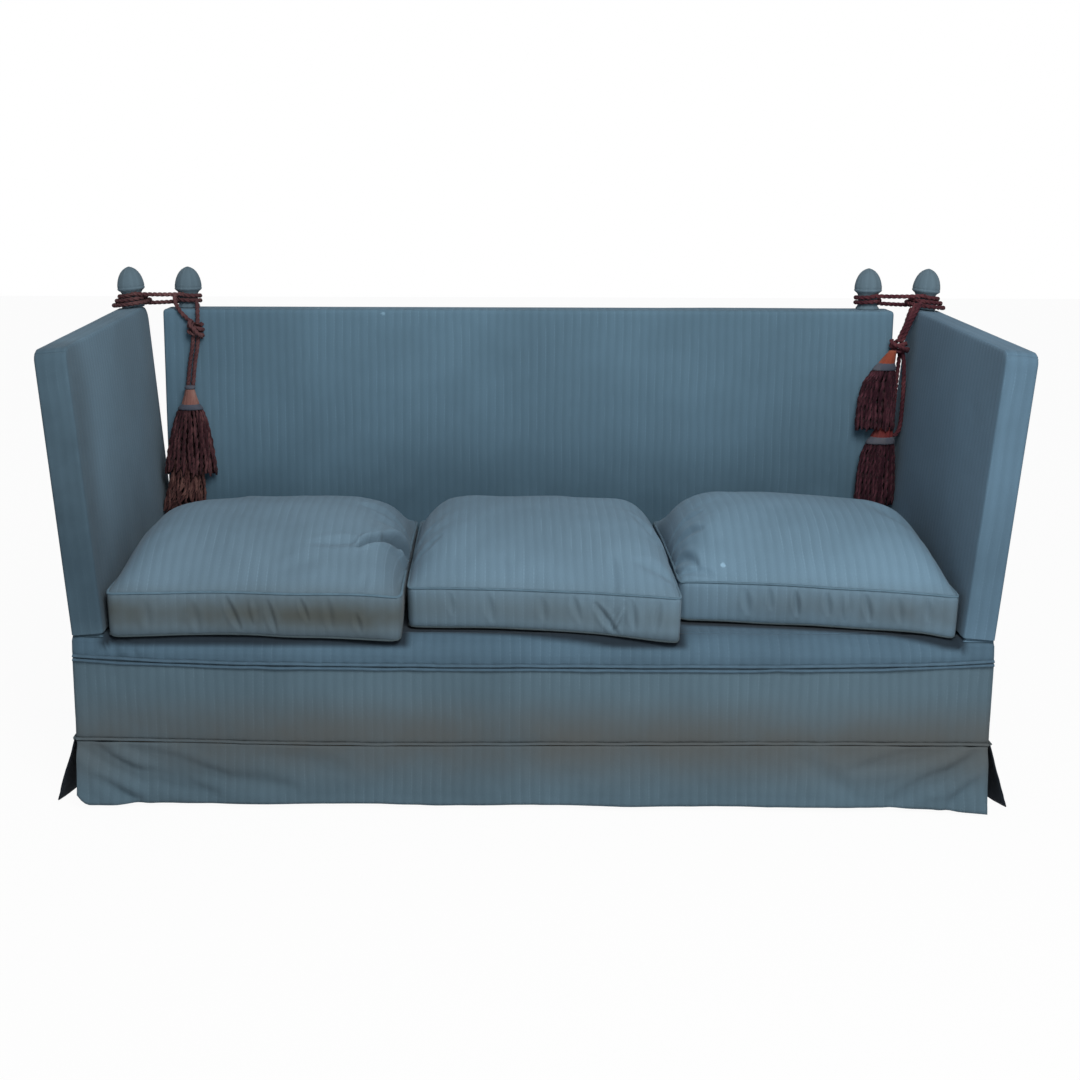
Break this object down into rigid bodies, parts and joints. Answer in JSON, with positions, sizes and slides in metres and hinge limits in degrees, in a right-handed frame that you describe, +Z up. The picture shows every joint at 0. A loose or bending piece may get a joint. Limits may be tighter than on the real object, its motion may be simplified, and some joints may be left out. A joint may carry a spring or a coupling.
{
  "type": "knole sofa",
  "caption": "Deep upholstered sofa with tall hinged drop arms roped to a fixed back at fabric-covered finials, loose boxed seat cushions and a skirt to the floor.",
  "frame": {"origin": "on the floor, at the middle of the sofa's footprint", "axes": "+X to the right as seen from the front, +Y from the front to the back, +Z up"},
  "size_m": [2.031, 0.807, 1.081],
  "materials": {
    "cloth": "matte",
    "cushion_cloth": "matte",
    "rope": "matte",
    "frame_timber": "satin",
    "jute": "matte",
    "wadding": "matte",
    "lining": "matte",
    "brass": "satin",
    "steel": "satin"
  },
  "bodies": {
    "base": {"front_rail": "frame_timber", "back_rail": "frame_timber", "left_side_rail": "frame_timber", "right_side_rail": "frame_timber", "cross_rails": "frame_timber", "corner_blocks": "frame_timber", "legs": "frame_timber", "glides": "steel", "seat_webbing": "jute", "seat_springs": "steel", "seat_hessian": "jute", "deck_pad": "wadding", "deck_cover": "cloth", "front_lip": "cloth", "front_border": "cloth", "left_border": "cloth", "right_border": "cloth", "back_border": "cloth", "welts": "cloth", "front_skirt": "cloth", "left_skirt": "cloth", "right_skirt": "cloth", "back_skirt": "cloth", "corner_pleats": "cloth", "dust_cover": "lining", "back_posts": "frame_timber", "back_rails": "frame_timber", "back_webbing": "jute", "back_padding": "wadding", "back_cover": "cloth", "outside_back": "cloth", "left_back_finial": "cloth", "right_back_finial": "cloth", "base_hinge_leaves": "brass", "hinge_pins": "steel", "base_hinge_screws": "steel", "left_back_rope": "rope", "left_tassels": "rope", "left_rope_span": "rope", "right_rope_span": "rope", "right_back_rope": "rope"},
    "left_arm": {"left_arm_rails": "frame_timber", "left_arm_stiles": "frame_timber", "left_arm_padding": "wadding", "left_arm_cover": "cloth", "left_arm_finial": "cloth", "left_arm_hinge_leaves": "brass", "left_arm_screws": "steel", "left_arm_rope": "rope"},
    "right_arm": {"right_arm_rails": "frame_timber", "right_arm_stiles": "frame_timber", "right_arm_padding": "wadding", "right_arm_cover": "cloth", "right_arm_finial": "cloth", "right_arm_hinge_leaves": "brass", "right_arm_screws": "steel", "right_arm_rope": "rope"},
    "left_cushion": {"left_cushion": "cushion_cloth"},
    "middle_cushion": {"middle_cushion": "cushion_cloth"},
    "right_cushion": {"right_cushion": "cushion_cloth"}
  },
  "joints": [
    {"name": "left_arm_fold", "type": "hinge", "parent": "base", "child": "left_arm", "pos_m": [-0.95, 0, 0.37], "axis": [0, -1, 0], "range_deg": [-5, 40], "deforming": ["left_rope_span"]},
    {"name": "right_arm_fold", "type": "hinge", "parent": "base", "child": "right_arm", "pos_m": [0.95, 0, 0.37], "axis": [0, 1, 0], "range_deg": [-5, 40], "deforming": ["right_rope_span"]},
    {"name": "left_cushion_slide", "type": "slide", "parent": "base", "child": "left_cushion", "axis": [0, -1, 0], "range_m": [0, 0.3]},
    {"name": "middle_cushion_slide", "type": "slide", "parent": "base", "child": "middle_cushion", "axis": [0, -1, 0], "range_m": [0, 0.3]},
    {"name": "right_cushion_slide", "type": "slide", "parent": "base", "child": "right_cushion", "axis": [0, -1, 0], "range_m": [0, 0.3]}
  ]
}
